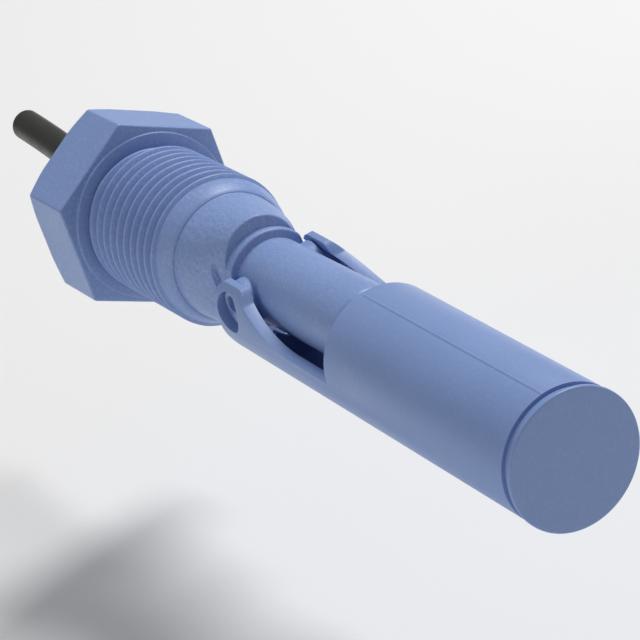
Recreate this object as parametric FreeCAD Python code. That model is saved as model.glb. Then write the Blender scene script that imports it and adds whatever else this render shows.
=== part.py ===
# Float level switch for the side of a tank: one moulded stem with a thread, a hinged float, and a reed
# switch potted inside the stem. Millimetres. The origin is on the thread's axis, where it meets the raised
# seating ring's face. +X runs along the thread to the float, +Z is up and the hinge pins lie along Y.
import FreeCAD, Part
import math
import os

Vec = FreeCAD.Vector

# Head and thread
hexAcrossFlats = 24.0
hexThick = 11.0              # from the rear face to the seating ring's face
hexChamfer = 1.1             # length of the chamfer on the hexagon's rear corners
hexFaceShare = 1.02          # the flat rear face's radius over half of the width across flats
seatRingWidth = 1.3
seatRingRise = 0.35
threadRadius = 10.0          # major radius of the M20 x 2 thread
barrelLength = 19.4
barrelStep = 0.4             # step from the thread's end down to the plain lead-in
leadInLength = 2.5           # plain taper that guides the thread into its hole
leadInDrop = 0.8             # how much the lead-in's radius shrinks
ringStep = 0.4               # length of the chamfer from the lead-in down to the barrel's end face
ringLip = 0.2                # height of that end face round the neck

# Neck and stalk
neckRadius = 8.3             # the neck is round where it leaves the barrel
neckEndX = 32.3              # and as narrow as the stalk, but full height, at its end face
neckTaper = 1.7              # power of the neck's narrowing: above one, most of it is near the end
neckSteps = 8                # straight spans that the narrowing is made of
neckBevel = 0.3
sideFlat = 0.1               # half of the straight side that even the roundest section has
collarRadius = 6.4
collarLength = 1.3
stalkRadius = 5.25
stalkTipRound = 1.2
tipBevels = 2                # bevels that make up the rounding of the stalk's tip
boreRadius = 3.5             # the bore that holds the switch and its resin
stalkTipWall = 1.8

# Hinge
hingeX = 35.6
hingeZ = 0.0
pinRadius = 2.54
pinClearance = 0.06
pinRecess = 1.2              # from the ear's outer face in to the pin's end
pinChamfer = 0.3
rampTop = 0.5                # the ramp on the pin's end starts this far below its centre
rampFoot = 0.2               # length of pin left inside the ear at the ramp's lower end
bossRadius = 3.1
bossGap = 0.25               # between the boss and the ear's flat inner face
reliefGap = 0.25             # extra depth of the neck's side reliefs beyond the ear's inner face
reliefReach = 5.9            # from the hinge back to the start of the reliefs
restTilt = 1.9               # degrees that the float hangs below the stem's line at rest

# Float
floatRadius = 8.4
floatWall = 1.4
floatDrop = 1.65             # the float's axis lies this far below the hinge
armLength = 24.0             # from the hinge to the float's front face
faceGap = 0.5                # between the stalk's tip and the circle that the float's face sweeps
frontWall = 2.4
floatLength = 40.4
earReach = 3.2               # from the hinge to the ear's rear edge
earRise = 3.5                # from the hinge to the ear's top
earFlat = 2.5                # flat top of the ear, ahead of the hinge
earRound = 2.4
browLength = 1.8             # length of the steep round down from the ear's top
browDrop = 1.7
armRise = 0.1                # from the float's axis to the arm's upper edge
armSlope = 10.6              # length of the easing curve from the steep round to the level arm
armSteepness = 0.5           # fall per length where the round meets the easing curve
armSlotHalf = 5.75           # half of the gap between the arms' flat inner faces
heelRound = 4.0              # rounding of the arm's lower rear corner

# End cap
capThick = 1.85
capRim = 0.6                 # thickness of the cap's full-width rim
capLip = 0.12
capBevel = 0.25
grooveDepth = 0.45
spigotLength = 3.4
spigotWall = 1.2
glueGap = 0.05

# Magnet
magnetRadius = 2.5
magnetLength = 5.0
magnetSkin = 0.9             # plastic between the magnet and the float's front face
magnetBossWall = 1.2

# Reed switch
glassRadius = 1.1
glassLength = 14.0
glassWall = 0.25
sealLength = 2.0             # length of each lead that is fused into the end of the glass
reedZ = 1.2
tipSpace = 1.6               # from the tip lead's outer side to the end of the bore
leadRadius = 0.25
leadLength = 4.2
tipLeadLength = 1.3
bladeWidth = 1.0
bladeThick = 0.24
bladeLap = 1.2
bladeGap = 0.14
sleeveWall = 0.25
sleeveOverhang = 0.5

# Wiring
coreRadius = 0.3
insulationRadius = 0.65
returnZ = -1.3               # height of the wire that comes back from the switch's tip end
stripLength = 2.2            # bare end of the feed wire, under its shrink sleeve
solderLength = 1.8
solderRadius = 0.58
shrinkWall = 0.22
shrinkLap = 1.6              # how far the shrink sleeve covers the wire's insulation
resinRecess = 0.4
bendShare = 0.45             # share of the shorter run that a bend of the cable uses

# Cable, with the points of its route chosen by hand from the resin to the bare end
cableRadius = 2.2
cableRoute = [
    (-5.0, 0.0, 0.0),
    (-15.0, 0.0, 0.0),
    (-28.0, 1.65, 1.6),
    (-44.0, 2.15, 2.1),
]

# Places worked out from the sizes above
leadInRadius = threadRadius - barrelStep
leadInEndX = barrelLength + leadInLength
neckStartX = leadInEndX + ringStep
floatZ = hingeZ - floatDrop
floatFrontX = hingeX + armLength
floatEndX = floatFrontX + floatLength
shellEndX = floatEndX - capThick
chamberRadius = floatRadius - floatWall
tipReach = armLength - faceGap - stalkTipRound
tipCorner = stalkRadius - stalkTipRound - hingeZ
stalkTipX = hingeX + math.sqrt(tipReach ** 2 - tipCorner ** 2) + stalkTipRound
boreEndX = stalkTipX - stalkTipWall
tipLeadX = boreEndX - tipSpace - leadRadius
glassEndX = tipLeadX - tipLeadLength
glassStartX = glassEndX - glassLength
leadStartX = glassStartX - leadLength
shrinkStartX = leadStartX - stripLength - shrinkLap
shrinkEndX = leadStartX + solderLength / 2 + shrinkLap / 2
cableStartX = cableRoute[0][0]
bladeSplitX = (glassStartX + glassEndX) / 2


def cylX(radius, x0, x1, z=0.0):
    return Part.makeCylinder(radius, x1 - x0, Vec(x0, 0, z), Vec(1, 0, 0))


def cylY(radius, half, x, z):
    return Part.makeCylinder(radius, 2 * half, Vec(x, -half, z), Vec(0, 1, 0))


def boxAt(x0, x1, y0, y1, z0, z1):
    return Part.makeBox(x1 - x0, y1 - y0, z1 - z0, Vec(x0, y0, z0))


def tubeX(outer, inner, x0, x1, z=0.0):
    return cylX(outer, x0, x1, z).cut(cylX(inner, x0, x1, z))


def turned(edges):
    """A solid turned about X from an open run of edges that starts and ends on the axis."""
    first = edges[0].Vertexes[0].Point
    last = edges[-1].Vertexes[-1].Point
    closing = Part.makeLine(last, first)
    return Part.Face(Part.Wire(edges + [closing])).revolve(Vec(0, 0, 0), Vec(1, 0, 0), 360)


def line(x0, r0, x1, r1):
    return Part.makeLine(Vec(x0, 0, r0), Vec(x1, 0, r1))


def arc(x0, r0, xm, rm, x1, r1):
    return Part.Arc(Vec(x0, 0, r0), Vec(xm, 0, rm), Vec(x1, 0, r1)).toShape()


def hexHead():
    """Hexagonal head with corners up and down, its rear corners chamfered like a nut's."""
    cornerRadius = hexAcrossFlats / 2 / math.cos(math.pi / 6)
    corners = []
    for k in range(7):
        angle = math.pi / 2 + k * math.pi / 3
        corners.append(Vec(-hexThick, cornerRadius * math.cos(angle), cornerRadius * math.sin(angle)))
    prism = Part.Face(Part.makePolygon(corners)).extrude(Vec(hexThick - seatRingRise, 0, 0))
    rearRadius = hexAcrossFlats / 2 * hexFaceShare
    cone = turned([
        line(-hexThick, 0, -hexThick, rearRadius),
        line(-hexThick, rearRadius, hexChamfer - hexThick, cornerRadius),
        line(hexChamfer - hexThick, cornerRadius, 0, cornerRadius),
        line(0, cornerRadius, 0, 0),
    ])
    ring = cylX(threadRadius + seatRingWidth, -hexThick / 2, 0)
    return prism.common(cone).fuse(ring)


def barrel():
    """Barrel of the thread, its plain lead-in and the step behind the neck, turned about the axis."""
    leadInEnd = leadInRadius - leadInDrop
    return turned([
        line(-hexThick / 2, 0, -hexThick / 2, threadRadius),
        line(-hexThick / 2, threadRadius, barrelLength, threadRadius),
        line(barrelLength, threadRadius, barrelLength, leadInRadius),
        line(barrelLength, leadInRadius, leadInEndX, leadInEnd),
        line(leadInEndX, leadInEnd, neckStartX, neckRadius + ringLip),
        line(neckStartX, neckRadius + ringLip, neckStartX, 0),
    ])


def neckSection(x, halfWidth, halfHeight):
    """Upright obround: two half circles joined by straight sides."""
    side = halfHeight - halfWidth
    top = Part.Arc(Vec(x, -halfWidth, side), Vec(x, 0, halfHeight), Vec(x, halfWidth, side)).toShape()
    right = Part.makeLine(Vec(x, halfWidth, side), Vec(x, halfWidth, -side))
    bottom = Part.Arc(Vec(x, halfWidth, -side), Vec(x, 0, -halfHeight), Vec(x, -halfWidth, -side)).toShape()
    left = Part.makeLine(Vec(x, -halfWidth, -side), Vec(x, -halfWidth, side))
    return Part.Wire([top, right, bottom, left])


def neck():
    """Round at the barrel and drawn in at the sides towards a flat, upright end face."""
    start = neckStartX - ringStep / 2
    end = neckEndX - neckBevel
    sections = []
    for k in range(neckSteps + 1):
        share = k / neckSteps
        narrow = (neckRadius - stalkRadius - sideFlat) * share ** neckTaper
        sections.append(neckSection(start + (end - start) * share, neckRadius - sideFlat - narrow, neckRadius))
    body = Part.makeLoft(sections, True, True)
    bevelEnd = neckSection(neckEndX, stalkRadius - neckBevel, neckRadius - neckBevel)
    return body.fuse(Part.makeLoft([sections[-1], bevelEnd], True, True))


def stalk():
    """Stalk with a rounded tip, standing on a short collar that is no wider than the neck's end."""
    run = [line(neckStartX, 0, neckStartX, stalkRadius)]
    x, r = neckStartX, stalkRadius
    for k in range(tipBevels + 1):
        angle = k / tipBevels * math.pi / 2
        nextX = stalkTipX - stalkTipRound * (1 - math.sin(angle))
        nextR = stalkRadius - stalkTipRound * (1 - math.cos(angle))
        run.append(line(x, r, nextX, nextR))
        x, r = nextX, nextR
    run.append(line(x, r, stalkTipX, 0))
    rod = turned(run)
    collarEnd = neckEndX + collarLength
    collar = turned([
        line(neckStartX, 0, neckStartX, collarRadius),
        line(neckStartX, collarRadius, collarEnd - neckBevel, collarRadius),
        line(collarEnd - neckBevel, collarRadius, collarEnd, collarRadius - neckBevel),
        line(collarEnd, collarRadius - neckBevel, collarEnd, 0),
    ])
    within = boxAt(neckStartX, collarEnd, -stalkRadius, stalkRadius, -collarRadius, collarRadius)
    return rod.fuse(collar.common(within))


def pinRamp(side, pinHalf):
    """Wedge that takes the lower half of one pin's end away, so an ear can be pushed over it from below."""
    foot = armSlotHalf + rampFoot
    corners = [
        Vec(hingeX - pinRadius, side * pinHalf, hingeZ - rampTop),
        Vec(hingeX - pinRadius, side * foot, hingeZ - pinRadius),
        Vec(hingeX - pinRadius, side * foot, hingeZ - 2 * pinRadius),
        Vec(hingeX - pinRadius, side * 2 * pinHalf, hingeZ - 2 * pinRadius),
        Vec(hingeX - pinRadius, side * 2 * pinHalf, hingeZ - rampTop),
        Vec(hingeX - pinRadius, side * pinHalf, hingeZ - rampTop),
    ]
    return Part.Face(Part.makePolygon(corners)).extrude(Vec(2 * pinRadius, 0, 0))


def hingePins():
    """One pin on each side, on a low boss, with a chamfered and ramped end for the ears to snap over."""
    pinHalf = math.sqrt(floatRadius ** 2 - floatDrop ** 2) - pinRecess
    pins = cylY(pinRadius, pinHalf, hingeX, hingeZ)
    ends = [edge for edge in pins.Edges if edge.Curve.TypeId == "Part::GeomCircle"]
    pins = pins.makeChamfer(pinChamfer, ends)
    pins = pins.cut(pinRamp(-1, pinHalf).fuse(pinRamp(1, pinHalf)))
    return pins.fuse(cylY(bossRadius, armSlotHalf - bossGap, hingeX, hingeZ))


def neckReliefs():
    """Shallow reliefs in the neck's sides that clear the ears' heels as the float swings down."""
    inner = armSlotHalf - reliefGap
    start = hingeX - reliefReach
    right = boxAt(start, neckEndX, inner, neckRadius, -neckRadius, neckRadius)
    left = boxAt(start, neckEndX, -neckRadius, -inner, -neckRadius, neckRadius)
    return right.fuse(left)


def switchBody():
    stem = barrel().fuse([neck(), stalk()]).cut(neckReliefs())
    body = hexHead().fuse([stem, hingePins()])
    body = body.cut(cylX(boreRadius, -hexThick, boreEndX))
    return body.removeSplitter()


def armOutline():
    """Side outline of an arm and its ear, extruded across the float's whole width."""
    top = hingeZ + earRise
    rear = hingeX - earReach
    low = floatZ - floatRadius - 1
    armTop = floatZ + armRise
    flatEnd = hingeX + earFlat
    browEnd = flatEnd + browLength
    browLow = top - browDrop
    slopeEnd = browEnd + armSlope
    ahead = floatFrontX + frontWall / 2
    bend = earRound * (1 - math.sqrt(0.5))
    heelBend = heelRound * (1 - math.sqrt(0.5))
    heelLow = floatZ - math.sqrt(floatRadius ** 2 - armSlotHalf ** 2)
    brow = Part.BezierCurve()
    brow.setPoles([
        Vec(flatEnd, 0, top),
        Vec(flatEnd + browLength / 2, 0, top),
        Vec(browEnd - browLength / 4, 0, browLow + armSteepness * browLength / 4),
        Vec(browEnd, 0, browLow),
    ])
    slope = Part.BezierCurve()
    slope.setPoles([
        Vec(browEnd, 0, browLow),
        Vec(browEnd + armSlope / 3, 0, browLow - armSteepness * armSlope / 3),
        Vec(slopeEnd - armSlope / 3, 0, armTop),
        Vec(slopeEnd, 0, armTop),
    ])
    edges = [
        line(rear, heelLow + heelRound, rear, top - earRound),
        arc(rear, top - earRound, rear + bend, top - bend, rear + earRound, top),
        line(rear + earRound, top, flatEnd, top),
        brow.toShape(),
        slope.toShape(),
        line(slopeEnd, armTop, ahead, armTop),
        line(ahead, armTop, ahead, low),
        line(ahead, low, rear + heelRound, low),
        line(rear + heelRound, low, rear + heelRound, heelLow),
        arc(rear + heelRound, heelLow, rear + heelBend, heelLow + heelBend, rear, heelLow + heelRound),
    ]
    face = Part.Face(Part.Wire(edges))
    face.translate(Vec(0, -floatRadius - 1, 0))
    return face.extrude(Vec(0, 2 * floatRadius + 2, 0))


def armPair():
    """Two arms: the float's own wall carried on past its front face to the ears on the pins."""
    rear = hingeX - earReach
    sleeve = cylX(floatRadius, rear, floatFrontX + frontWall / 2, floatZ)
    bore = cylX(chamberRadius, rear, floatFrontX, floatZ)
    slot = boxAt(rear, floatFrontX, -armSlotHalf, armSlotHalf, floatZ - 2 * floatRadius, floatZ + 2 * floatRadius)
    arms = sleeve.common(armOutline()).cut(bore.fuse(slot))
    return arms.cut(cylY(pinRadius + pinClearance, floatRadius + 1, hingeX, hingeZ))


def floatShell():
    """Hollow float with a closed front, the arms and a pocket for the magnet inside its front wall."""
    outer = cylX(floatRadius, floatFrontX, shellEndX, floatZ)
    chamber = cylX(chamberRadius, floatFrontX + frontWall, shellEndX, floatZ)
    pocketStart = floatFrontX + magnetSkin
    bossRadiusOut = magnetRadius + glueGap + magnetBossWall
    boss = cylX(bossRadiusOut, floatFrontX + frontWall / 2, pocketStart + magnetLength, floatZ)
    pocket = cylX(magnetRadius + glueGap, pocketStart, pocketStart + magnetLength, floatZ)
    shell = outer.cut(chamber).fuse([boss, armPair()])
    return shell.cut(pocket).removeSplitter()


def floatEndCap():
    """Cap glued into the float's open end by a hollow spigot; a groove sets its thin rim off the shell."""
    spigotRadius = chamberRadius - glueGap
    rim = cylX(floatRadius + capLip, floatEndX - capRim, floatEndX, floatZ)
    rimEdge = [edge for edge in rim.Edges if edge.Curve.TypeId == "Part::GeomCircle"
               and abs(edge.CenterOfMass.x - floatEndX) < capRim / 2]
    rim = rim.makeChamfer(capBevel, rimEdge)
    plate = cylX(floatRadius - grooveDepth, shellEndX, floatEndX - capRim / 2, floatZ)
    spigot = cylX(spigotRadius, shellEndX - spigotLength, shellEndX, floatZ)
    hollow = cylX(spigotRadius - spigotWall, shellEndX - spigotLength, shellEndX, floatZ)
    return rim.fuse([plate, spigot.cut(hollow)]).removeSplitter()


def floatMagnet():
    start = floatFrontX + magnetSkin
    return cylX(magnetRadius, start, start + magnetLength, floatZ)


def reedGlass():
    """Glass tube, fused round a lead at each end."""
    inner = glassRadius - glassWall
    tube = cylX(glassRadius, glassStartX, glassEndX, reedZ)
    hollow = cylX(inner, glassStartX + sealLength, glassEndX - sealLength, reedZ)
    leads = cylX(leadRadius, glassStartX, glassEndX, reedZ)
    return tube.cut(hollow.fuse(leads))


def reedBlade(side):
    """One blade: a round lead through the seal that is pressed flat inside the glass."""
    sealEnd = glassStartX + sealLength if side < 0 else glassEndX - sealLength
    tip = bladeSplitX - side * bladeLap / 2
    level = reedZ - side * (bladeThick + bladeGap) / 2
    root = sealEnd - side * bladeLap / 2
    x0 = min(sealEnd, tip)
    x1 = max(sealEnd, tip)
    z0 = level - bladeThick / 2
    blade = boxAt(x0, x1, -bladeWidth / 2, bladeWidth / 2, z0, z0 + bladeThick)
    if side < 0:
        return blade.fuse(cylX(leadRadius, leadStartX, root, reedZ)).removeSplitter()
    lead = cylX(leadRadius, root, tipLeadX, reedZ)
    fall = reedZ + leadRadius - returnZ
    drop = Part.makeCylinder(leadRadius, fall, Vec(tipLeadX, 0, returnZ), Vec(0, 0, 1))
    return blade.fuse([lead, drop]).removeSplitter()


def reedSleeve():
    """Soft tube over the glass that keeps the resin's pull off it."""
    inner = glassRadius + glueGap
    return tubeX(inner + sleeveWall, inner, glassStartX - sleeveOverhang, glassEndX + sleeveOverhang, reedZ)


def copperCore(name):
    if name == "feed":
        return cylX(coreRadius, cableStartX, leadStartX, reedZ)
    return cylX(coreRadius, cableStartX, tipLeadX - leadRadius, returnZ)


def wireInsulation(name):
    z = reedZ if name == "feed" else returnZ
    end = leadStartX - stripLength if name == "feed" else tipLeadX - leadRadius - solderLength
    return tubeX(insulationRadius, coreRadius, cableStartX, end, z)


def solderJoint(name):
    """Solder run over a core's end and the lead that it meets."""
    if name == "feed":
        joint = cylX(solderRadius, leadStartX - solderLength / 2, leadStartX + solderLength / 2, reedZ)
        return joint.cut(cylX(coreRadius, leadStartX - solderLength, leadStartX, reedZ)).cut(reedBlade(-1))
    x0 = tipLeadX - leadRadius - solderLength
    joint = cylX(solderRadius, x0, tipLeadX + solderRadius, returnZ)
    return joint.cut(copperCore("return").fuse(reedBlade(1))).removeSplitter()


def shrinkSleeve():
    inner = insulationRadius + glueGap
    return tubeX(inner + shrinkWall, inner, shrinkStartX, shrinkEndX, reedZ)


def cableJacket():
    """Round cable along the route: straight runs joined by tangent arcs as large as the runs allow."""
    points = [Vec(*p) for p in cableRoute]
    start = points[0]
    edges = []
    for i in range(1, len(points) - 1):
        before = points[i - 1] - points[i]
        after = points[i + 1] - points[i]
        turn = math.pi - before.getAngle(after)
        shorter = min(before.Length, after.Length)
        radius = bendShare * shorter / math.tan(turn / 2)
        back = radius * math.tan(turn / 2)
        inward = before.normalize()
        onward = after.normalize()
        a = points[i] + inward * back
        b = points[i] + onward * back
        middle = (inward + onward).normalize()
        bulge = radius / math.cos(turn / 2) - radius
        edges.append(Part.makeLine(start, a))
        edges.append(Part.Arc(a, points[i] + middle * bulge, b).toShape())
        start = b
    edges.append(Part.makeLine(start, points[-1]))
    route = Part.Wire(edges)
    first = points[1] - points[0]
    section = Part.Wire(Part.makeCircle(cableRadius, points[0], first))
    return Part.Solid(route.makePipeShell([section], True, False))


def pottingResin(contents):
    """Resin that fills the bore round everything in it, up to a little inside the rear face."""
    fill = cylX(boreRadius, resinRecess - hexThick, boreEndX)
    covers = cylX(insulationRadius + glueGap, leadStartX - stripLength, shrinkEndX, reedZ)
    glass = cylX(glassRadius + glueGap, glassStartX - sleeveOverhang, glassEndX + sleeveOverhang, reedZ)
    return fill.cut(contents + [covers, glass])


def atRest(shape):
    """The float's pieces are drawn in line with the stem and hang by the rest angle."""
    shape = shape.copy()
    shape.rotate(Vec(hingeX, 0, hingeZ), Vec(0, 1, 0), restTilt)
    return shape


inside = {
    "cable_jacket": cableJacket(),
    "copper_core_feed": copperCore("feed"),
    "copper_core_return": copperCore("return"),
    "wire_insulation_feed": wireInsulation("feed"),
    "wire_insulation_return": wireInsulation("return"),
    "solder_joint_feed": solderJoint("feed"),
    "solder_joint_return": solderJoint("return"),
    "shrink_sleeve": shrinkSleeve(),
    "reed_sleeve": reedSleeve(),
    "reed_glass": reedGlass(),
    "reed_blade_rear": reedBlade(-1),
    "reed_blade_tip": reedBlade(1),
}
parts = dict(inside)
parts["switch_body"] = switchBody()
parts["potting_resin"] = pottingResin(list(inside.values()))
parts["float_shell"] = atRest(floatShell())
parts["float_end_cap"] = atRest(floatEndCap())
parts["float_magnet"] = atRest(floatMagnet())

os.makedirs("parts", exist_ok=True)
for name, shape in parts.items():
    shape.exportStep("parts/" + name + ".step")
    box = shape.BoundBox
    print(name, len(shape.Solids), shape.isValid(), round(shape.Volume, 2),
          [round(v, 2) for v in (box.XMin, box.XMax, box.YMin, box.YMax, box.ZMin, box.ZMax)])
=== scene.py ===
import bpy, bmesh
from math import atan2, cos, pi, radians, sin, sqrt
from mathutils import Matrix, Vector


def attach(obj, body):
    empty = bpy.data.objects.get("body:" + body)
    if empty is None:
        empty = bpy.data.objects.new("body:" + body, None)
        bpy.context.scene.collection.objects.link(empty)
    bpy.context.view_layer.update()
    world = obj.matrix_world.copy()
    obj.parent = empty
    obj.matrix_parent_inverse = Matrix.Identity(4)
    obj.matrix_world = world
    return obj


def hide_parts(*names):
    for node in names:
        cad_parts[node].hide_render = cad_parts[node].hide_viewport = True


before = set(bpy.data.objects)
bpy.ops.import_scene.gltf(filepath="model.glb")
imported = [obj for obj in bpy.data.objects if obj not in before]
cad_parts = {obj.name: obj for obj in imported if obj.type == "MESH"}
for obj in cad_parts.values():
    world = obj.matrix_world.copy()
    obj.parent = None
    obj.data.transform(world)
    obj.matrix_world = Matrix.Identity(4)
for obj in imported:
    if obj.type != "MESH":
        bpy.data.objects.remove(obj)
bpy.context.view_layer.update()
mm = 0.001
print("frame loaded")

# the camera's place and the directions of its picture, in mm
cameraSizes = {
    "place": (384.44, -134.02, 177.29),
    "right": (0.48518103, 0.81748132, -0.31036054),
    "down": (0.25926717, -0.47346632, -0.84178986),
    "forward": (-0.83509275, 0.32795417, -0.44166295),
    "lens": 187.78,
    "sensor": 36.0,
    "shift": (0.0, 0.0),
}


def link(obj):
    bpy.context.scene.collection.objects.link(obj)
    return obj


def makeCamera(sizes):
    data = bpy.data.cameras.new("camera")
    data.sensor_width = sizes["sensor"]
    data.lens = sizes["lens"]
    data.shift_x, data.shift_y = sizes["shift"]
    data.clip_start = 0.01
    data.clip_end = 20.0
    camera = link(bpy.data.objects.new("camera", data))
    axes = (Vector(sizes["right"]), -Vector(sizes["down"]), -Vector(sizes["forward"]))
    turn = Matrix(axes).transposed().to_4x4()
    camera.matrix_world = Matrix.Translation(Vector(sizes["place"]) * mm) @ turn
    bpy.context.scene.camera = camera


makeCamera(cameraSizes)
print("camera placed")


# materials, one function for each finish
def nodeMaterial(name):
    material = bpy.data.materials.new(name)
    material.use_nodes = True
    tree = material.node_tree
    return material, tree.nodes, tree.links, tree.nodes["Principled BSDF"]


def noise(nodes, links, source, scale, detail=3.0):
    node = nodes.new("ShaderNodeTexNoise")
    node.inputs["Scale"].default_value = scale
    node.inputs["Detail"].default_value = detail
    links.new(source, node.inputs["Vector"])
    return node.outputs["Fac"]


def blendColours(nodes, links, factor, first, second):
    node = nodes.new("ShaderNodeMix")
    node.data_type = "RGBA"
    node.inputs[6].default_value = (*first, 1.0)
    node.inputs[7].default_value = (*second, 1.0)
    links.new(factor, node.inputs[0])
    return node.outputs[2]


def mapRange(nodes, links, value, low, high, toLow, toHigh):
    node = nodes.new("ShaderNodeMapRange")
    node.interpolation_type = "SMOOTHSTEP"
    for name, number in (("From Min", low), ("From Max", high), ("To Min", toLow), ("To Max", toHigh)):
        node.inputs[name].default_value = number
    links.new(value, node.inputs["Value"])
    return node.outputs["Result"]


def times(nodes, links, first, second):
    node = nodes.new("ShaderNodeMath")
    node.operation = "MULTIPLY"
    links.new(first, node.inputs[0])
    if isinstance(second, float):
        node.inputs[1].default_value = second
    else:
        links.new(second, node.inputs[1])
    return node.outputs[0]


def bump(nodes, links, height, distance, strength, under=None):
    node = nodes.new("ShaderNodeBump")
    node.inputs["Distance"].default_value = distance
    if isinstance(strength, float):
        node.inputs["Strength"].default_value = strength
    else:
        links.new(strength, node.inputs["Strength"])
    links.new(height, node.inputs["Height"])
    if under:
        links.new(under, node.inputs["Normal"])
    return node.outputs["Normal"]


# noise scales are per metre, and depths and places in metres
plasticLook = {
    "light": (0.234, 0.343, 0.645),
    "dark": (0.202, 0.302, 0.582),
    "pale": (0.325, 0.435, 0.735),   # the mould's fine speckle
    "speckStem": 0.55,
    "speckFloat": 0.22,
    "roughness": 0.42,
    "specular": 0.5,
    "cloud": 70.0,
    "grain": 2300.0,
    "grainDepth": 0.00004,
    "grainStrength": 0.22,
    "pebble": 1500.0,
    "pebbleDepth": 0.0002,
    "pebbleStrength": 0.95,
    "pebbleFrom": 0.0221,            # the neck is the rough part
    "pebbleTo": 0.0325,
}


def mouldedPlastic(name, look, rough):
    material, nodes, links, shader = nodeMaterial(name)
    coords = nodes.new("ShaderNodeTexCoord").outputs["Object"]
    cloud = noise(nodes, links, coords, look["cloud"], 4.0)
    tone = blendColours(nodes, links, cloud, look["dark"], look["light"])
    share = look["speckStem"] if rough else look["speckFloat"]
    speck = mapRange(nodes, links, noise(nodes, links, coords, look["grain"], 4.0), 0.47, 0.72, 0.0, share)
    mixed = nodes.new("ShaderNodeMix")
    mixed.data_type = "RGBA"
    mixed.inputs[7].default_value = (*look["pale"], 1.0)
    links.new(speck, mixed.inputs[0])
    links.new(tone, mixed.inputs[6])
    links.new(mixed.outputs[2], shader.inputs["Base Color"])
    grain = noise(nodes, links, coords, look["grain"], 2.0)
    normal = bump(nodes, links, grain, look["grainDepth"], look["grainStrength"])
    if rough:
        split = nodes.new("ShaderNodeSeparateXYZ")
        links.new(coords, split.inputs[0])
        first, last = look["pebbleFrom"], look["pebbleTo"]
        start = mapRange(nodes, links, split.outputs[0], first, first + 0.0006, 0.0, 1.0)
        end = mapRange(nodes, links, split.outputs[0], last - 0.0003, last, 1.0, 0.0)
        area = times(nodes, links, times(nodes, links, start, end), look["pebbleStrength"])
        pebble = noise(nodes, links, coords, look["pebble"], 3.0)
        normal = bump(nodes, links, pebble, look["pebbleDepth"], area, normal)
    links.new(normal, shader.inputs["Normal"])
    sheen = mapRange(nodes, links, cloud, 0.3, 0.7, look["roughness"] - 0.05, look["roughness"] + 0.06)
    links.new(sheen, shader.inputs["Roughness"])
    shader.inputs["Specular IOR Level"].default_value = look["specular"]
    return material


def plainFinish(name, first, second, scale, roughness, relief, metallic=0.0):
    material, nodes, links, shader = nodeMaterial(name)
    coords = nodes.new("ShaderNodeTexCoord").outputs["Object"]
    cloud = noise(nodes, links, coords, scale)
    links.new(blendColours(nodes, links, cloud, first, second), shader.inputs["Base Color"])
    links.new(mapRange(nodes, links, cloud, 0.3, 0.7, roughness - 0.05, roughness + 0.05), shader.inputs["Roughness"])
    links.new(bump(nodes, links, noise(nodes, links, coords, scale * 4, 2.0), 0.00003, relief), shader.inputs["Normal"])
    shader.inputs["Metallic"].default_value = metallic
    return material


def drawnGlass(name):
    material, nodes, links, shader = nodeMaterial(name)
    coords = nodes.new("ShaderNodeTexCoord").outputs["Object"]
    cloud = noise(nodes, links, coords, 400.0)
    links.new(blendColours(nodes, links, cloud, (0.55, 0.78, 0.62), (0.6, 0.82, 0.68)), shader.inputs["Base Color"])
    links.new(mapRange(nodes, links, cloud, 0.3, 0.7, 0.03, 0.07), shader.inputs["Roughness"])
    shader.inputs["Transmission Weight"].default_value = 0.9
    return material


stemPlastic = mouldedPlastic("stemPlastic", plasticLook, True)
floatPlastic = mouldedPlastic("floatPlastic", plasticLook, False)
cableSheath = plainFinish("cableSheath", (0.020, 0.020, 0.017), (0.034, 0.034, 0.029), 700.0, 0.40, 0.3)
finishes = {
    "potting_resin": plainFinish("pottingResin", (0.016, 0.016, 0.017), (0.028, 0.028, 0.03), 500.0, 0.32, 0.3),
    "float_magnet": plainFinish("sinteredFerrite", (0.05, 0.05, 0.053), (0.085, 0.082, 0.08), 900.0, 0.62, 0.6, 0.35),
    "copper_core_feed": plainFinish("copperWire", (0.72, 0.40, 0.24), (0.62, 0.33, 0.19), 1500.0, 0.28, 0.3, 1.0),
    "wire_insulation_feed": plainFinish("brownInsulation", (0.12, 0.05, 0.025), (0.16, 0.07, 0.035), 800.0, 0.45, 0.2),
    "wire_insulation_return": plainFinish("blueInsulation", (0.02, 0.07, 0.30), (0.03, 0.10, 0.36), 800.0, 0.45, 0.2),
    "solder_joint_feed": plainFinish("brightSolder", (0.62, 0.62, 0.62), (0.5, 0.5, 0.52), 1600.0, 0.25, 0.6, 1.0),
    "shrink_sleeve": plainFinish("shrunkSleeve", (0.014, 0.014, 0.014), (0.024, 0.024, 0.024), 900.0, 0.5, 0.5),
    "reed_sleeve": plainFinish("softSleeve", (0.55, 0.54, 0.5), (0.62, 0.61, 0.57), 600.0, 0.5, 0.3),
    "reed_glass": drawnGlass("switchGlass"),
    "reed_blade_rear": plainFinish("platedBlade", (0.62, 0.6, 0.55), (0.7, 0.69, 0.66), 1400.0, 0.22, 0.3, 1.0),
}
finishes["copper_core_return"] = finishes["copper_core_feed"]
finishes["solder_joint_return"] = finishes["solder_joint_feed"]
finishes["reed_blade_tip"] = finishes["reed_blade_rear"]
print("materials mixed")


# the cable, from the resin to its bare end, in mm
cableSizes = {
    "radius": 2.2,
    "route": [(-5.0, 0.0, 0.0), (-15.0, 0.0, 0.0), (-28.0, 1.65, 1.6), (-43.75, 2.1458, 2.0917)],
    "exit": (-10.6, 0.0, 0.0),
    "length": 0.0391,
}
cutEndSizes = {
    "centre": (-43.74, 2.1455, 2.0914),
    "along": (-0.99915, 0.03123, 0.03122),
    "jacket": 2.2,
    "jacketWall": 0.55,
    "edge": 0.08,
    "thick": 0.24,
    "recess": 0.05,
    "wireRadius": 0.65,
    "coreRadius": 0.3,
    "wireOffset": 0.72,
}


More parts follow.
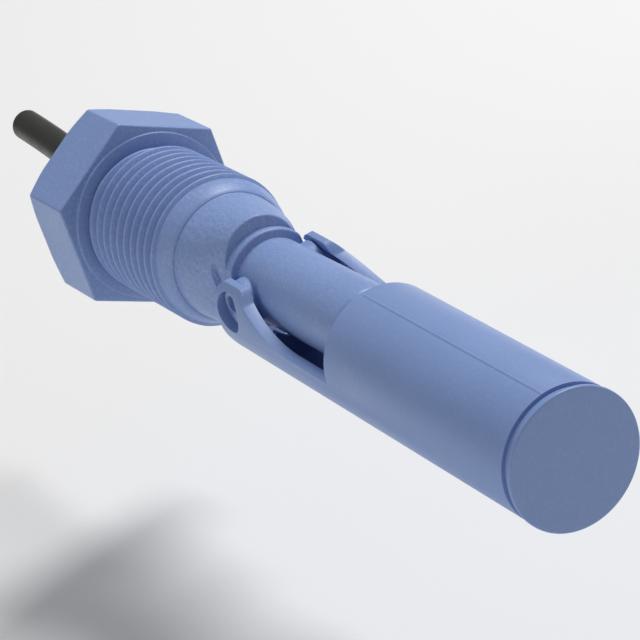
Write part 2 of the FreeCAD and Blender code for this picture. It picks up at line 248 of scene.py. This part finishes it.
def makeCable(sizes):
    data = bpy.data.curves.new("cable", "CURVE")
    data.dimensions = "3D"
    spline = data.splines.new("NURBS")
    spline.points.add(len(sizes["route"]) - 1)
    for point, place in zip(spline.points, sizes["route"]):
        point.co = (place[0] * mm, place[1] * mm, place[2] * mm, 1.0)
    spline.order_u = 3
    spline.use_endpoint_u = True
    spline.resolution_u = 24
    data.bevel_depth = sizes["radius"] * mm
    data.bevel_resolution = 14
    data.use_fill_caps = True
    data.materials.append(cableSheath)
    return link(bpy.data.objects.new("cable", data))


# rows of points round an axis become one closed skin; an end row of one point is a pole
def skin(name, rows, materials, smoothAngle=38.0):
    shape = bmesh.new()
    made = [[shape.verts.new((x * mm, y * mm, z * mm)) for x, y, z in row] for row in rows]
    for before, after in zip(made, made[1:]):
        count = max(len(before), len(after))
        for k in range(count):
            corners = [before[k % len(before)], before[(k + 1) % len(before)]]
            corners += [after[(k + 1) % len(after)], after[k % len(after)]]
            unique = list(dict.fromkeys(corners))
            if len(unique) > 2:
                shape.faces.new(unique)
    return finishMesh(name, shape, materials, smoothAngle)


def finishMesh(name, shape, materials, smoothAngle):
    bmesh.ops.remove_doubles(shape, verts=shape.verts, dist=1e-7)
    bmesh.ops.dissolve_degenerate(shape, edges=shape.edges, dist=1e-7)
    bmesh.ops.recalc_face_normals(shape, faces=shape.faces)
    mesh = bpy.data.meshes.new(name)
    shape.to_mesh(mesh)
    shape.free()
    for material in materials:
        mesh.materials.append(material)
    mesh.shade_smooth()
    mesh.set_sharp_from_angle(angle=radians(smoothAngle))
    return link(bpy.data.objects.new(name, mesh))


def join(name, objects):
    shape = bmesh.new()
    for obj in objects:
        shape.from_mesh(obj.data)
    mesh = bpy.data.meshes.new(name)
    shape.to_mesh(mesh)
    shape.free()
    for material in objects[0].data.materials:
        mesh.materials.append(material)
    for obj in objects:
        bpy.data.objects.remove(obj)
    return link(bpy.data.objects.new(name, mesh))


def disc(centre, along, side, up, radius, offset, depth, count):
    ring = []
    for k in range(count):
        a = 2 * pi * k / count
        ring.append(centre + along * depth + side * (offset + radius * cos(a)) + up * (radius * sin(a)))
    return ring


# a cord's cut face: the sheath's ring, its filler, and two wires cut flush with it
def makeCutEnd(sizes):
    centre = Vector(sizes["centre"])
    along = Vector(sizes["along"]).normalized()
    side = along.cross(Vector((0, 0, 1))).normalized()
    up = side.cross(along)
    inner = sizes["jacket"] - sizes["jacketWall"]
    t, r = sizes["thick"], sizes["recess"]
    outer, edge = sizes["jacket"], sizes["edge"]
    rim = [(0.0, 0.0), (outer, 0.0), (outer, t - edge), (outer - edge, t), (inner, t), (inner, t - r), (0.0, t - r)]
    plan = [("cableCutRing", cableSheath, 0.0, rim)]
    for sign, wire in ((1, "wire_insulation_feed"), (-1, "wire_insulation_return")):
        place = sign * sizes["wireOffset"]
        base, colour = t - 2 * r, "Brown" if sign > 0 else "Blue"
        for kind, radius, top in (("Wire", sizes["wireRadius"], t - 0.3 * r), ("Core", sizes["coreRadius"], t - 0.02)):
            finish = finishes[wire if kind == "Wire" else "copper_core_feed"]
            rod = [(0.0, base), (radius, base), (radius, top), (0.0, top)]
            plan.append(("cut" + kind + colour, finish, place, rod))
    made = []
    for name, material, place, profile in plan:
        rows = []
        for radius, depth in profile:
            rows.append(disc(centre, along, side, up, radius, place, depth, 1 if radius == 0 else 40))
        made.append(skin(name, rows, [material]))
    return made


cable = makeCable(cableSizes)
cutEnd = makeCutEnd(cutEndSizes)
for piece in [cable] + cutEnd:
    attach(piece, "stem")
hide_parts("cable_jacket")
print("cable laid")


# the moulded stem, in mm from the seating face
stemSizes = {
    "hexFlats": 24.0, "hexThick": 11.0, "hexRound": 0.4, "hexEase": 0.28,
    "rearFace": 12.24, "chamferLength": 1.1, "chamferRise": 1.616, "chamferBlend": 0.2,
    "ringRise": 0.35, "ringRadius": 11.3, "ringEase": 0.14, "ringFoot": 0.1,
    "rootRadius": 8.95, "rootFoot": 0.25,
    "leadInFrom": 18.2, "leadInFull": 19.5, "leadInStart": 9.55, "leadInEnd": 8.8, "leadInEndX": 21.9,
    "leadInCrown": 0.1, "leadInEdge": ((22.0, 8.74), (22.12, 8.64), (22.22, 8.55)), "stepX": 22.3, "stepTop": 8.46,
    "neckFrom": 22.1, "neckStart": 22.6, "neckFoot": ((0.0, 0.13), (0.03, 0.06), (0.12, 0.01), (0.3, 0.0)),
    "neckHeight": 8.3, "neckWidth": 8.2, "neckEnd": 32.3, "neckPower": 1.7, "neckEase": 0.3, "neckSpans": 26,
    "reliefWide": 12.0, "reliefWidth": 5.5, "reliefFrom": 29.2, "reliefTo": 30.15,
    "collarRadius": 6.4, "collarEnd": 33.6, "collarEase": 0.3, "collarFoot": 0.12,
    "stalkRadius": 5.25, "tip": 58.73, "tipRound": 1.2,
    "bore": 3.5, "boreEnd": 56.93, "boreEase": 0.2, "around": 180,
}


def hexOutline(theta, flats, roundness):
    half = flats / 2
    sector = (theta + pi / 6) % (pi / 3) - pi / 6
    fromCorner = pi / 6 - abs(sector)
    place = (half - roundness) / cos(pi / 6)
    reach = atan2(roundness * sin(pi / 6), place + roundness * cos(pi / 6))
    if fromCorner > reach:
        return half / cos(sector)
    return place * cos(fromCorner) + sqrt(roundness ** 2 - (place * sin(fromCorner)) ** 2)


def obroundOutline(theta, width, height):
    c, s = abs(cos(theta)), abs(sin(theta))
    rise = height - width
    if width * s <= rise * c:
        return width / c
    return rise * s + sqrt(max(width ** 2 - (rise * c) ** 2, 0.0))


def softLower(a, b, blend):
    h = max(blend - abs(a - b), 0.0) / blend
    return min(a, b) - h * h * blend / 4


def sidesWithin(theta, radius, width):
    c = abs(cos(theta))
    return radius if c < 1e-6 else softLower(radius, width / c, 0.25)


def easeIn(t):
    t = min(max(t, 0.0), 1.0)
    return t * t * (3 - 2 * t)


def quarter(steps):
    return [k / steps * pi / 2 for k in range(steps + 1)]


def aroundAngles(sizes):
    angles = [2 * pi * k / sizes["around"] for k in range(sizes["around"])]
    for corner in range(6):
        for nudge in (-0.9, -0.6, -0.3, 0.3, 0.6, 0.9):
            angles.append((pi / 6 + corner * pi / 3 + radians(nudge)) % (2 * pi))
    return sorted(angles)


# each station is a place along X and the outline there, from the bore's end round the head to the stalk's tip
def stemStations(s):
    stations = []
    bore, stalk = s["bore"], s["stalkRadius"]
    rear, front = -s["hexThick"], -s["ringRise"]

    def plain(radius, *places):
        stations.extend((x, lambda t: radius) for x in places)

    # a convex edge that ends in a face at x
    def edge(x, rim, ease, steps=4):
        for a in quarter(steps):
            stations.append((x - ease * (1 - sin(a)), lambda t, a=a: rim(t) - ease * (1 - cos(a))))

    # a fillet at the foot of a face at x
    def foot(x, rim, ease):
        for a in quarter(3):
            stations.append((x + ease * (1 - cos(a)), lambda t, a=a: rim(t) + ease * (1 - sin(a))))

    plain(bore * 0.6, s["boreEnd"])
    plain(bore - 0.02, s["boreEnd"])
    plain(bore, s["boreEnd"] - 0.02, 40.0, 20.0, 0.0, rear + 0.6, rear + 0.25)
    for a in quarter(4):
        plain(bore + s["boreEase"] * (1 - cos(a)), rear + s["boreEase"] * (1 - sin(a)))
    for radius in (3.9, 6.0, 9.0, 11.2):
        plain(radius, rear)

    def hexRim(t):
        return hexOutline(t, s["hexFlats"], s["hexRound"])

    def rearRim(x, inset):
        cone = s["rearFace"] + (x - rear) * s["chamferRise"] / s["chamferLength"]
        return lambda t: softLower(hexRim(t), cone, s["chamferBlend"]) - inset

    ease = s["hexEase"]
    for a in quarter(5):
        x = rear + ease * (1 - cos(a))
        stations.append((x, rearRim(x, ease * (1 - sin(a)))))
    for k in range(1, 10):
        x = rear + ease + (s["chamferLength"] + 0.35 - ease) * k / 9
        stations.append((x, rearRim(x, 0.0)))
    stations += [(x, hexRim) for x in (rear + 1.7, -6.0, front - ease - 0.3)]
    edge(front, hexRim, ease, 5)

    plain(s["ringRadius"] + 0.32, front)
    foot(front, lambda t: s["ringRadius"], s["ringFoot"])
    edge(0.0, lambda t: s["ringRadius"], s["ringEase"])
    plain(10.4, 0.0)
    plain(9.6, 0.0)

    root, rise = s["rootRadius"], s["leadInStart"] - s["rootRadius"]
    foot(0.0, lambda t: root, s["rootFoot"])
    plain(root, 0.6, 6.0, 12.0, s["leadInFrom"])
    for k in range(1, 6):
        plain(root + rise * easeIn(k / 5), s["leadInFrom"] + (s["leadInFull"] - s["leadInFrom"]) * k / 5)
    for k in range(1, 9):
        share = k / 8
        radius = s["leadInStart"] + (s["leadInEnd"] - s["leadInStart"]) * share + s["leadInCrown"] * sin(pi * share)
        plain(radius, s["leadInFull"] + (s["leadInEndX"] - s["leadInFull"]) * share)
    for x, radius in s["leadInEdge"]:
        plain(radius, x)
    plain(s["stepTop"], s["stepX"])

    last = s["neckEnd"] - s["neckEase"]

    def neckOutline(x, inset=0.0):
        share = min(max((x - s["neckFrom"]) / (last - s["neckFrom"]), 0.0), 1.0)
        width = s["neckWidth"] - (s["neckWidth"] - stalk) * share ** s["neckPower"]
        relieved = easeIn((x - s["reliefFrom"]) / (s["reliefTo"] - s["reliefFrom"]))
        limit = s["reliefWide"] - (s["reliefWide"] - s["reliefWidth"]) * relieved

        def outline(t):
            oval = obroundOutline(t, width, s["neckHeight"])
            return max(min(oval, limit / max(abs(cos(t)), 1e-6)) - inset, stalk)

        return outline

    for along, out in s["neckFoot"]:
        stations.append((s["stepX"] + along, neckOutline(s["stepX"] + along, -out)))
    for k in range(1, s["neckSpans"] + 1):
        x = s["neckStart"] + (last - s["neckStart"]) * k / s["neckSpans"]
        stations.append((x, neckOutline(x)))
    for a in quarter(4):
        x = s["neckEnd"] - s["neckEase"] * (1 - sin(a))
        stations.append((x, neckOutline(x, s["neckEase"] * (1 - cos(a)))))

    def collar(t, inset):
        return max(sidesWithin(t, s["collarRadius"] - inset, stalk), stalk)

    small, ease = s["collarFoot"], s["collarEase"]
    for a in quarter(3):
        stations.append((s["neckEnd"] + small * (1 - cos(a)), lambda t, a=a: collar(t, -small * (1 - sin(a)))))
    for a in quarter(4):
        stations.append((s["collarEnd"] - ease * (1 - sin(a)), lambda t, a=a: collar(t, ease * (1 - cos(a)))))
    foot(s["collarEnd"], lambda t: stalk, small)
    plain(stalk, 36.0, 45.0, 55.0, s["tip"] - s["tipRound"] - 0.2)
    edge(s["tip"], lambda t: stalk, s["tipRound"], 8)
    plain(2.0, s["tip"])
    return stations


def makeStem(sizes):
    angles = aroundAngles(sizes)
    rows = [[(sizes["boreEnd"], 0.0, 0.0)]]
    for x, outline in stemStations(sizes):
        rows.append([(x, outline(t) * cos(t), outline(t) * sin(t)) for t in angles])
    rows.append([(sizes["tip"], 0.0, 0.0)])
    return skin("stemMoulding", rows, [stemPlastic], 32.0)


# each pin stands on a low boss, and the lower part of its end is ramped, in mm
pinSizes = {
    "hinge": (35.6, 0.0, 0.0), "radius": 2.54, "length": 7.036, "ease": 0.3,
    "rampTop": 0.5, "rampFoot": 5.95, "root": 4.0, "hole": 1.75, "holeDepth": 2.6, "holeEase": 0.1,
    "boss": 3.1, "bossLength": 5.5, "bossEase": 0.15, "around": 72, "smoothAngle": 35.0,
}


def makePin(side, sizes):
    x0, _, z0 = sizes["hinge"]
    fall = (sizes["length"] - sizes["rampFoot"]) / (sizes["radius"] - sizes["rampTop"])

    def ramped(y, z):
        return min(y, sizes["length"] - max(0.0, -sizes["rampTop"] - z) * fall)

    def ring(radius, y):
        points = []
        for k in range(sizes["around"]):
            a = 2 * pi * k / sizes["around"]
            z = radius * sin(a)
            points.append((x0 + radius * cos(a), side * ramped(y, z), z0 + z))
        return points

    def stack(name, radius, length, ease, hole):
        rows = [[(x0, side * sizes["root"], z0)], ring(radius, sizes["root"]), ring(radius, length - ease - 0.2)]
        for a in quarter(4):
            rows.append(ring(radius - ease * (1 - cos(a)), length - ease * (1 - sin(a))))
        if hole:
            last = length - sizes["holeDepth"]
            rows += [ring(hole + sizes["holeEase"], length), ring(hole, length - sizes["holeEase"])]
            rows += [ring(hole, last), ring(hole * 0.5, last)]
        else:
            last = length
            rows += [ring((radius - ease) * share, length) for share in (0.9, 0.75, 0.6, 0.45, 0.3, 0.15)]
        rows.append([(x0, side * last, z0)])
        return skin(name, rows, [stemPlastic], sizes["smoothAngle"])

    pin = stack("pin", sizes["radius"], sizes["length"], sizes["ease"], sizes["hole"])
    boss = stack("boss", sizes["boss"], sizes["bossLength"], sizes["bossEase"], 0.0)
    return [pin, boss]


# the thread's ridge is one right-handed helix that sinks into the barrel at both ends, in mm, turns
# and, for its run out, a share of its length; the names are the node group's inputs
threadSizes = {
    "Pitch": 2.0, "Crest Radius": 9.98, "First Crest": 0.15, "Turns": 10.0, "Ridge Width": 1.86, "Crest Width": 0.4,
    "Depth": 1.3, "Crest Round": 0.16, "Run Out": 0.035, "Sink": 1.3,
}
threadSteps = 120


def threadTree():
    tree = bpy.data.node_groups.new("threadRidge", "GeometryNodeTree")
    face = tree.interface
    for name in threadSizes:
        face.new_socket(name=name, in_out="INPUT", socket_type="NodeSocketFloat")
    face.new_socket(name="Steps", in_out="INPUT", socket_type="NodeSocketInt")
    face.new_socket(name="Material", in_out="INPUT", socket_type="NodeSocketMaterial")
    face.new_socket(name="Geometry", in_out="OUTPUT", socket_type="NodeSocketGeometry")
    nodes, links = tree.nodes, tree.links
    given = nodes.new("NodeGroupInput").outputs

    def math(operation, first, second):
        node = nodes.new("ShaderNodeMath")
        node.operation = operation
        for k, value in enumerate((first, second)):
            if isinstance(value, float):
                node.inputs[k].default_value = value
            else:
                links.new(value, node.inputs[k])
        return node.outputs[0]

    spiral = nodes.new("GeometryNodeCurveSpiral")
    spiral.inputs["Reverse"].default_value = True   # the node's own turn is left-handed
    links.new(given["Steps"], spiral.inputs["Resolution"])
    links.new(given["Turns"], spiral.inputs["Rotations"])
    middle = math("SUBTRACT", given["Crest Radius"], math("MULTIPLY", given["Depth"], 0.5))
    links.new(middle, spiral.inputs["Start Radius"])
    links.new(middle, spiral.inputs["End Radius"])
    links.new(math("MULTIPLY", given["Pitch"], given["Turns"]), spiral.inputs["Height"])
    factor = nodes.new("GeometryNodeSplineParameter").outputs["Factor"]
    nearEnd = math("MINIMUM", factor, math("SUBTRACT", 1.0, factor))
    share = math("MINIMUM", math("DIVIDE", nearEnd, given["Run Out"]), 1.0)
    sink = math("MULTIPLY", math("SUBTRACT", share, 1.0), given["Sink"])
    place = nodes.new("GeometryNodeInputPosition").outputs[0]
    outward = nodes.new("ShaderNodeVectorMath")
    outward.operation = "MULTIPLY"
    outward.inputs[1].default_value = (1.0, 1.0, 0.0)
    links.new(place, outward.inputs[0])
    unit = nodes.new("ShaderNodeVectorMath")
    unit.operation = "NORMALIZE"
    links.new(outward.outputs[0], unit.inputs[0])
    shift = nodes.new("ShaderNodeVectorMath")
    shift.operation = "SCALE"
    links.new(unit.outputs[0], shift.inputs[0])
    links.new(sink, shift.inputs["Scale"])
    sunk = nodes.new("GeometryNodeSetPosition")
    links.new(spiral.outputs[0], sunk.inputs["Geometry"])
    links.new(shift.outputs[0], sunk.inputs["Offset"])
    upright = nodes.new("GeometryNodeSetCurveNormal")
    upright.mode = "Z_UP"
    links.new(sunk.outputs[0], upright.inputs[0])
    section = nodes.new("GeometryNodeCurvePrimitiveQuadrilateral")
    section.mode = "TRAPEZOID"
    links.new(given["Depth"], section.inputs["Height"])
    links.new(given["Ridge Width"], section.inputs["Bottom Width"])
    links.new(given["Crest Width"], section.inputs["Top Width"])
    section.inputs["Offset"].default_value = 0.0
    rounded = nodes.new("GeometryNodeFilletCurve")
    rounded.mode = "POLY"
    rounded.inputs["Count"].default_value = 3
    links.new(section.outputs[0], rounded.inputs["Curve"])
    links.new(given["Crest Round"], rounded.inputs["Radius"])
    turned = nodes.new("GeometryNodeTransform")
    turned.inputs["Rotation"].default_value = (0.0, 0.0, -pi / 2)
    links.new(rounded.outputs[0], turned.inputs["Geometry"])
    ridge = nodes.new("GeometryNodeCurveToMesh")
    ridge.inputs["Fill Caps"].default_value = True
    links.new(upright.outputs[0], ridge.inputs["Curve"])
    links.new(turned.outputs[0], ridge.inputs["Profile Curve"])
    moved = nodes.new("GeometryNodeTransform")
    lift = nodes.new("ShaderNodeCombineXYZ")
    links.new(given["First Crest"], lift.inputs["Z"])
    links.new(lift.outputs[0], moved.inputs["Translation"])
    links.new(ridge.outputs[0], moved.inputs["Geometry"])
    single = nodes.new("GeometryNodeRealizeInstances")
    links.new(moved.outputs[0], single.inputs[0])
    painted = nodes.new("GeometryNodeSetMaterial")
    links.new(single.outputs[0], painted.inputs["Geometry"])
    links.new(given["Material"], painted.inputs["Material"])
    out = nodes.new("NodeGroupOutput")
    links.new(painted.outputs[0], out.inputs[0])
    return tree


def makeThread(sizes):
    tree = threadTree()
    carrier = link(bpy.data.objects.new("threadCarrier", bpy.data.meshes.new("threadCarrier")))
    modifier = carrier.modifiers.new("ridge", "NODES")
    modifier.node_group = tree
    for item in tree.interface.items_tree:
        if item.in_out != "INPUT":
            continue
        if item.name in sizes:
            modifier[item.identifier] = float(sizes[item.name])
        elif item.name == "Steps":
            modifier[item.identifier] = threadSteps
        elif item.name == "Material":
            modifier[item.identifier] = stemPlastic
    evaluated = carrier.evaluated_get(bpy.context.evaluated_depsgraph_get())
    mesh = bpy.data.meshes.new_from_object(evaluated)
    carrier.modifiers.remove(modifier)
    bpy.data.objects.remove(carrier)
    # from the node's Z, in mm, to the stem's X, in metres
    mesh.transform(Matrix(((0, 0, mm, 0), (mm, 0, 0, 0), (0, mm, 0, 0), (0, 0, 0, 1))))
    mesh.name = "threadRidge"
    shape = bmesh.new()
    shape.from_mesh(mesh)
    bmesh.ops.remove_doubles(shape, verts=shape.verts, dist=1e-7)
    bmesh.ops.recalc_face_normals(shape, faces=shape.faces)
    shape.to_mesh(mesh)
    shape.free()
    mesh.shade_smooth()
    mesh.set_sharp_from_angle(angle=radians(60.0))
    return link(bpy.data.objects.new("threadRidge", mesh))


stem = makeStem(stemSizes)
pins = join("hingePins", makePin(-1, pinSizes) + makePin(1, pinSizes))
pins.data.shade_smooth()
pins.data.set_sharp_from_angle(angle=radians(pinSizes["smoothAngle"]))
thread = makeThread(threadSizes)
for piece in (stem, pins, thread):
    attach(piece, "stem")
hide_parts("switch_body")
print("stem moulded")


# the float's cap, in mm along the float's own line; the float hangs from the hinge by its tilt in degrees
capSizes = {
    "hinge": (35.6, 0.0, 0.0), "tilt": 1.9, "axisZ": -1.65,
    "shellEnd": 98.15, "end": 99.99, "rim": 0.6, "rimRadius": 8.51, "rimEase": 0.2,
    "grooveRadius": 7.95, "grooveEase": 0.05, "backEase": 0.08,
    "spigot": 6.95, "spigotWall": 1.2, "spigotLength": 3.4, "around": 144,
}


def atRest(point, sizes):
    turn = Matrix.Rotation(radians(sizes["tilt"]), 3, "Y")
    hinge = Vector(sizes["hinge"])
    return hinge + turn @ (Vector(point) - hinge)


def fromRest(place, sizes):
    turn = Matrix.Rotation(-radians(sizes["tilt"]), 3, "Y")
    hinge = Vector(sizes["hinge"])
    return hinge + turn @ (Vector(place) / mm - hinge)


def makeCap(s):
    inner, groove = s["spigot"] - s["spigotWall"], s["grooveRadius"]
    face, start, back, small = s["shellEnd"], s["end"] - s["rim"], s["backEase"], s["grooveEase"]
    profile = [(face, 0.0), (face, inner), (face - s["spigotLength"], inner), (face - s["spigotLength"], s["spigot"])]
    profile += [(face, s["spigot"]), (face, groove), (start - small, groove), (start, groove + small)]
    profile.append((start, s["rimRadius"] - back))
    profile += [(start + back * (1 - cos(a)), s["rimRadius"] - back * (1 - sin(a))) for a in quarter(3)]
    ease = s["rimEase"]
    profile += [(s["end"] - ease * (1 - sin(a)), s["rimRadius"] - ease * (1 - cos(a))) for a in quarter(5)]
    profile += [(s["end"], s["rimRadius"] - ease - 0.2), (s["end"], 5.0), (s["end"], 2.5), (s["end"], 0.0)]
    rows = []
    for x, r in profile:
        count = 1 if r == 0 else s["around"]
        turns = [2 * pi * k / count for k in range(count)]
        rows.append([atRest((x, r * cos(a), s["axisZ"] + r * sin(a)), s) for a in turns])
    return skin("floatCap", rows, [floatPlastic], 40.0)


# the float's shell and arms: the frame's own shape with its edges eased, in mm and degrees
shellSizes = {
    "width": 0.16, "segments": 3, "angle": 34.0, "flat": 0.6,
    "slotHalf": 5.75, "slotNear": 0.02, "seamDrop": 5.0,
}

# a thin floor with a sill joins the arms below the stalk, in mm along the float's own line and degrees
troughSizes = {
    "rear": 37.4, "front": 60.6, "outer": 8.388, "inner": 7.015, "outerSpread": 47.0, "innerSpread": 56.5,
    "ease": 0.18, "sill": 4.6, "sillThick": 1.0, "sillSlope": 0.05, "steps": 28,
}


def makeShell(sizes):
    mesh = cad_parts["float_shell"].data.copy()
    mesh.name = "floatShell"
    shape = bmesh.new()
    shape.from_mesh(mesh)
    bmesh.ops.remove_doubles(shape, verts=shape.verts, dist=1e-6)
    bmesh.ops.dissolve_limit(shape, angle_limit=radians(sizes["flat"]), verts=shape.verts, edges=shape.edges)
    weight = shape.edges.layers.float.new("bevel_weight_edge")
    for edge in shape.edges:
        sharp = len(edge.link_faces) == 2 and edge.calc_face_angle(0.0) > radians(sizes["angle"])
        edge[weight] = 1.0 if sharp and not onTroughSeam(edge, sizes) else 0.0
    shape.to_mesh(mesh)
    shape.free()
    mesh.materials.clear()
    mesh.materials.append(floatPlastic)
    shell = link(bpy.data.objects.new("floatShell", mesh))
    mesh.shade_smooth()
    ease = shell.modifiers.new("ease", "BEVEL")
    ease.width = sizes["width"] * mm
    ease.segments = sizes["segments"]
    ease.limit_method = "WEIGHT"
    return shell


# the line where an arm's foot runs into the trough's floor stays sharp
def onTroughSeam(edge, sizes):
    for vert in edge.verts:
        x, y, z = fromRest(vert.co, capSizes)
        beside = abs(abs(y) - sizes["slotHalf"]) > sizes["slotNear"]
        if x < troughSizes["rear"] or beside or z > capSizes["axisZ"] - sizes["seamDrop"]:
            return False
    return True


def makeTrough(s, line):
    rows = []

    def arc(x, radius, spread):
        points = []
        for k in range(s["steps"] + 1):
            a = radians(-spread + 2 * spread * k / s["steps"])
            points.append(atRest((x, radius * sin(a), line["axisZ"] - radius * cos(a)), line))
        return points

    def section(x, inset, inner):
        rows.append(arc(x, s["outer"] - inset, s["outerSpread"]) + arc(x, inner + inset, -s["innerSpread"]))

    sill, sillEnd = s["sill"], s["rear"] + s["sillThick"]
    section(s["rear"], (s["outer"] - sill) / 2 - 0.01, sill)
    for a in quarter(3):
        section(s["rear"] + s["ease"] * (1 - cos(a)), s["ease"] * (1 - sin(a)), sill)
    section(sillEnd, 0.0, sill)
    for x in (sillEnd + s["sillSlope"], 45.0, 52.0, s["front"]):
        section(x, 0.0, s["inner"])
    section(s["front"], (s["outer"] - s["inner"]) / 2 - 0.01, s["inner"])
    return skin("floatTrough", rows, [floatPlastic], 40.0)


# the mould's parting line, a slim raised ridge along the float, in mm and degrees from its top
seamSizes = {
    "from": 60.2, "to": 98.05, "runOut": 0.3, "endShare": 0.1,
    "angle": -3.5, "radius": 8.4, "width": 0.24, "crest": 0.45, "rise": 0.1, "sink": 0.3,
}


def makeSeam(s, line):
    ends = ((s["from"], s["endShare"]), (s["from"] + s["runOut"], 1.0))
    others = ((s["to"] - s["runOut"], 1.0), (s["to"], s["endShare"]))
    rows = []
    for x, share in ends + ((70.0, 1.0), (84.0, 1.0)) + others:
        row = []
        crest, rise = s["crest"], s["rise"] * share
        outline = ((-1.0, -s["sink"]), (-1.0, 0.0), (-crest, rise), (crest, rise), (1.0, 0.0), (1.0, -s["sink"]))
        for side, height in outline:
            r = s["radius"] + height
            a = radians(s["angle"]) + side * s["width"] / s["radius"]
            row.append(atRest((x, r * sin(a), line["axisZ"] + r * cos(a)), line))
        rows.append(row)
    first, last = ([Vector([sum(c) / len(row) for c in zip(*row)])] for row in (rows[0], rows[-1]))
    return skin("floatSeam", [first] + rows + [last], [floatPlastic], 50.0)


cap = makeCap(capSizes)
seam = makeSeam(seamSizes, capSizes)
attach(seam, "float")
shell = makeShell(shellSizes)
trough = makeTrough(troughSizes, capSizes)
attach(trough, "float")
for piece, node in ((cap, "float_end_cap"), (shell, "float_shell")):
    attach(piece, "float")
    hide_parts(node)
print("float made")

for node, material in finishes.items():
    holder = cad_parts[node]
    for slot in holder.material_slots:
        slot.material = material
print("inner pieces painted")


# the floor, in mm, lies below the swung float; the lamps are in metres and watts
stageSizes = {
    "floorDrop": -42.0, "floorWidth": 6000.0, "floorColour": (0.9, 0.9, 0.9, 1.0), "floorRoughness": 0.9,
    "aim": (0.04, 0.0, 0.0),
    "keyPlace": (-0.11, 0.64, 0.84), "keySize": 0.36, "keyPower": 9.4,
    "fillPlace": (0.05, -0.62, 0.20), "fillSize": 0.4, "fillPower": 0.85,
    "world": 0.25,
}


def makeFloor(sizes):
    half = sizes["floorWidth"] / 2 * mm
    z = sizes["floorDrop"] * mm
    mesh = bpy.data.meshes.new("floor")
    mesh.from_pydata([(-half, -half, z), (half, -half, z), (half, half, z), (-half, half, z)], [], [(0, 1, 2, 3)])
    floor = link(bpy.data.objects.new("floor", mesh))
    material, nodes, links, shader = nodeMaterial("floorPaint")
    shader.inputs["Base Color"].default_value = sizes["floorColour"]
    shader.inputs["Roughness"].default_value = sizes["floorRoughness"]
    mesh.materials.append(material)


def makeLamp(name, sizes):
    data = bpy.data.lights.new(name + "Lamp", "AREA")
    data.shape = "SQUARE"
    data.size = sizes[name + "Size"]
    data.energy = sizes[name + "Power"]
    lamp = link(bpy.data.objects.new(name + "Lamp", data))
    place = Vector(sizes[name + "Place"])
    lamp.location = place
    lamp.rotation_mode = "QUATERNION"
    lamp.rotation_quaternion = (Vector(sizes["aim"]) - place).to_track_quat("-Z", "Y")


def makeWorld(sizes):
    world = bpy.data.worlds.new("world")
    world.use_nodes = True
    background = world.node_tree.nodes["Background"]
    background.inputs["Color"].default_value = (1, 1, 1, 1)
    background.inputs["Strength"].default_value = sizes["world"]
    bpy.context.scene.world = world


makeFloor(stageSizes)
makeLamp("key", stageSizes)
makeLamp("fill", stageSizes)
makeWorld(stageSizes)
bpy.context.scene.view_settings.view_transform = "Standard"
print("stage set")
